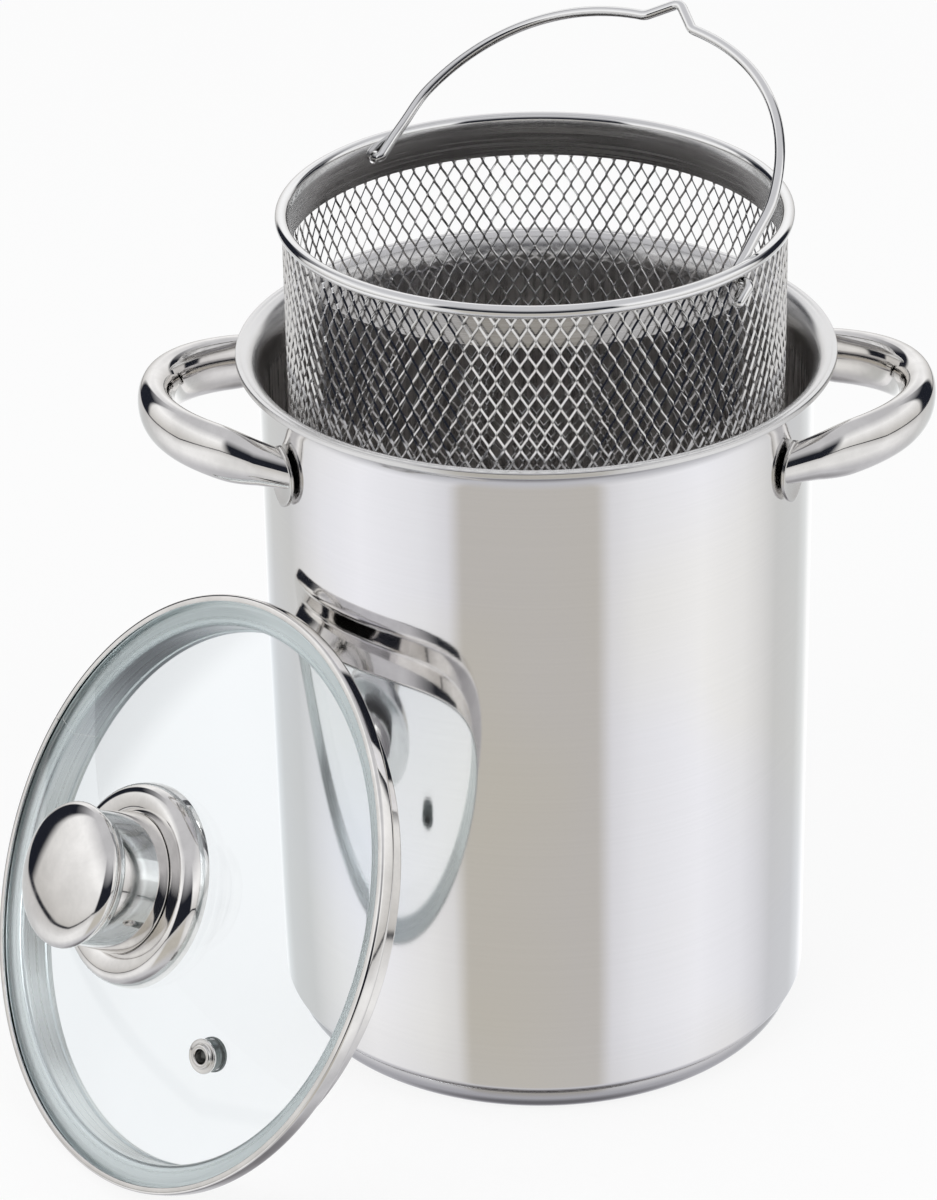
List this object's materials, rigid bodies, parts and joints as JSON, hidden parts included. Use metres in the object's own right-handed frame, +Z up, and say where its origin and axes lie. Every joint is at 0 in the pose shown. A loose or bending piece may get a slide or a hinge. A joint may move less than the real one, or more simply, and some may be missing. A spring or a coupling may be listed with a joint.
{
  "type": "asparagus pot",
  "caption": "Tall steel steaming pot with side handles, a lift-out mesh basket on a swinging wire bail, and a domed glass lid with a knob and steam vent, leaning on its side.",
  "frame": {"origin": "centre of the flat underside of the pot's base, on the surface that the pot stands on", "axes": "+Z up along the pot's axis, X through the two side handles, -Y towards the viewer"},
  "size_m": [0.2795, 0.2397, 0.3027],
  "materials": {
    "satin_steel": "fine satin polish",
    "polished_steel": "mirror polish",
    "wire_steel": "bright drawn wire",
    "core_aluminium": "as cast",
    "clear_glass": "clear, toughened",
    "gasket_silicone": "matt"
  },
  "bodies": {
    "pot": {"pot_shell": "satin_steel", "base_cap": "satin_steel", "base_core": "core_aluminium", "handle_right": "polished_steel", "handle_left": "polished_steel", "handle_plate_right_front": "polished_steel", "handle_plate_right_rear": "polished_steel", "handle_plate_left_front": "polished_steel", "handle_plate_left_rear": "polished_steel"},
    "basket": {"basket_band": "satin_steel", "basket_rim_wire": "wire_steel", "basket_mesh": "wire_steel", "basket_hoop": "satin_steel", "basket_floor": "satin_steel"},
    "bail": {"bail": "wire_steel"},
    "lid": {"lid_rim": "polished_steel", "lid_glass": "clear_glass", "knob_cap": "polished_steel", "knob_dish": "polished_steel", "knob_insert": "wire_steel", "knob_gasket": "gasket_silicone", "knob_washer": "wire_steel", "knob_screw": "wire_steel", "vent_eyelet": "polished_steel", "vent_ring": "wire_steel"}
  },
  "joints": [
    {"name": "basket_lift", "type": "slide", "parent": "pot", "child": "basket", "axis": [0, 0, 1], "range_m": [-0.08, 0.135]},
    {"name": "bail_swing", "type": "hinge", "parent": "basket", "child": "bail", "pos_m": [0.00439, 0.00479, 0.2523], "axis": [0.7373, -0.6756, 0], "range_deg": [0, 115]},
    {"name": "lid_lift", "type": "slide", "parent": "pot", "child": "lid", "axis": [-0.7185, -0.5201, 0.4617], "range_m": [0, 0.15]}
  ]
}
